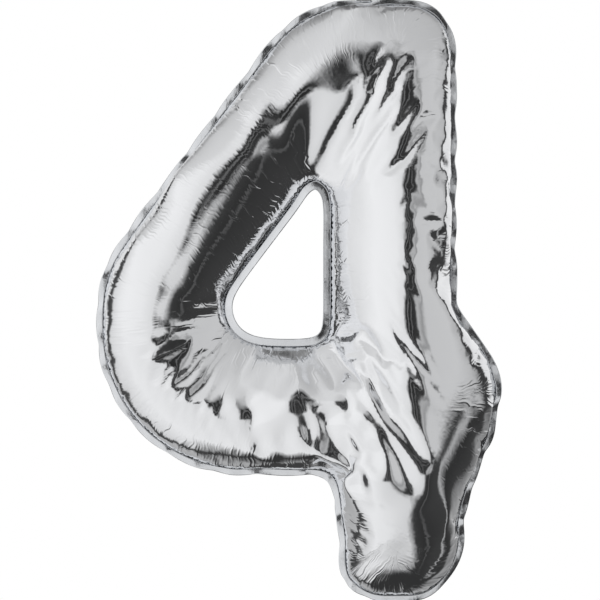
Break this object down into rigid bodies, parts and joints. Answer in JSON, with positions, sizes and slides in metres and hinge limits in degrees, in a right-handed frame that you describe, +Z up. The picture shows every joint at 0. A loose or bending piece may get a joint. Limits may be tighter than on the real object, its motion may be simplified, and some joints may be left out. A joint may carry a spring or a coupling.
{
  "type": "foil number balloon",
  "caption": "Inflated silver foil balloon in the shape of the figure 4, with a punched hanging tab, a folded inflation tail and a self-sealing valve.",
  "frame": {"origin": "centre of the punched hole in the hanging tab, at the top of the figure, in the plane of the seam", "axes": "+X to the right as the figure is read, +Z up, -Y towards the reader, so the front panel faces -Y"},
  "size_m": [0.577, 0.191, 0.885],
  "materials": {
    "silver_foil": "mirror-bright metallised film",
    "fused_margin": "heat-sealed metallised film, slightly duller",
    "valve_film": "translucent polyethylene film",
    "release_lacquer": "matt printed lacquer"
  },
  "bodies": {
    "envelope": {"front_foil_panel": "silver_foil", "back_foil_panel": "silver_foil", "outer_heat_seal": "fused_margin", "counter_heat_seal": "fused_margin", "valve_back_ply": "valve_film", "valve_release_strip": "release_lacquer"},
    "tab": {"hanging_tab": "fused_margin"},
    "tail": {"tail_back_ply": "silver_foil"},
    "tail_mouth": {"tail_front_ply": "silver_foil"},
    "valve_lip": {"valve_front_ply": "valve_film"}
  },
  "joints": [
    {"name": "hanging_tab_fold", "type": "hinge", "parent": "envelope", "child": "tab", "pos_m": [0, 0, -0.013], "axis": [1, 0, 0], "range_deg": [-85, 85], "stiffness_Nm_per_rad": 0.004},
    {"name": "tail_fold", "type": "hinge", "parent": "envelope", "child": "tail", "pos_m": [0.0452, 0, -0.8754], "axis": [-1, 0, 0], "range_deg": [0, 95]},
    {"name": "tail_mouth_open", "type": "hinge", "parent": "tail", "child": "tail_mouth", "pos_m": [0.0452, 0, -0.8754], "axis": [-1, 0, 0], "range_deg": [0, 12], "stiffness_Nm_per_rad": 0.006},
    {"name": "valve_lip_open", "type": "hinge", "parent": "envelope", "child": "valve_lip", "pos_m": [0.0452, -0.0002, -0.8657], "axis": [1, 0, 0], "range_deg": [0, 8], "stiffness_Nm_per_rad": 0.006}
  ]
}
